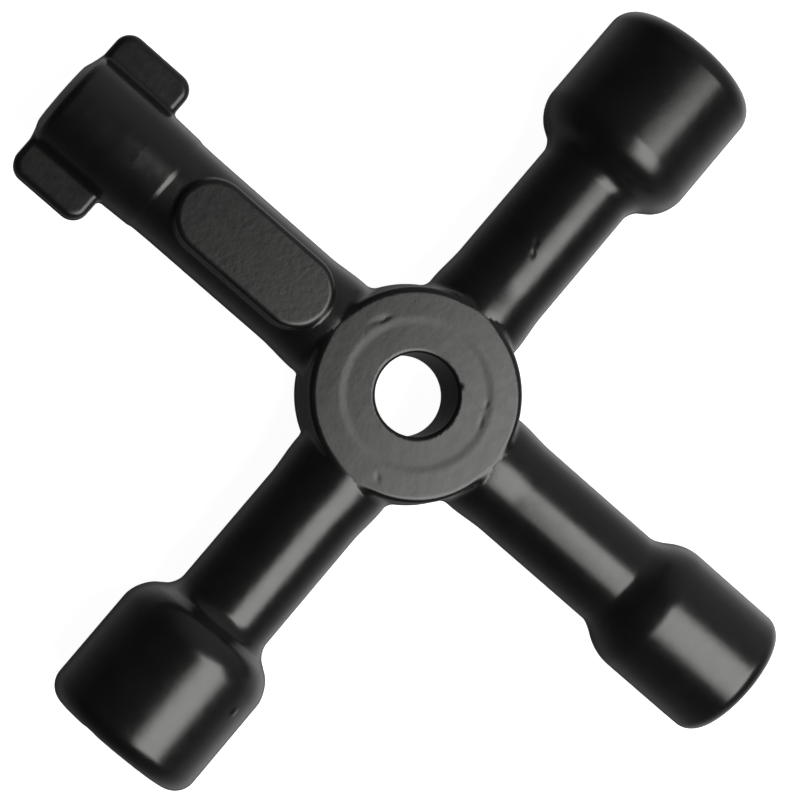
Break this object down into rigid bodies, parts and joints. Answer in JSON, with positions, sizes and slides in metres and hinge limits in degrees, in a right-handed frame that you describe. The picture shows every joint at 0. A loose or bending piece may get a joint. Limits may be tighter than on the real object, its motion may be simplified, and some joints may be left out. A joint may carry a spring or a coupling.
{
  "type": "radiator bleed key",
  "caption": "Cross-shaped cast service key: round hub with a hole, arms with large and small square sockets, a triangular socket, and a double-bit end with a pin hole.",
  "frame": {"origin": "on the axis of the hole through the hub, on the parting plane of the casting", "axes": "+Z along the hole; +X along the arm with the large square socket; +Y along the arm with the double bit; the triangular socket is at -X and the small square socket at -Y"},
  "size_m": [0.07, 0.07, 0.0132],
  "materials": {
    "black_paint": "satin black paint over a zinc casting"
  },
  "bodies": {
    "root": {"hub": "black_paint", "large_square_shank": "black_paint", "triangle_shank": "black_paint", "small_square_shank": "black_paint", "double_bit_shank": "black_paint", "large_square_head": "black_paint", "triangle_head": "black_paint", "small_square_head": "black_paint", "double_bit_barrel": "black_paint", "bit_left": "black_paint", "bit_right": "black_paint"}
  },
  "joints": []
}
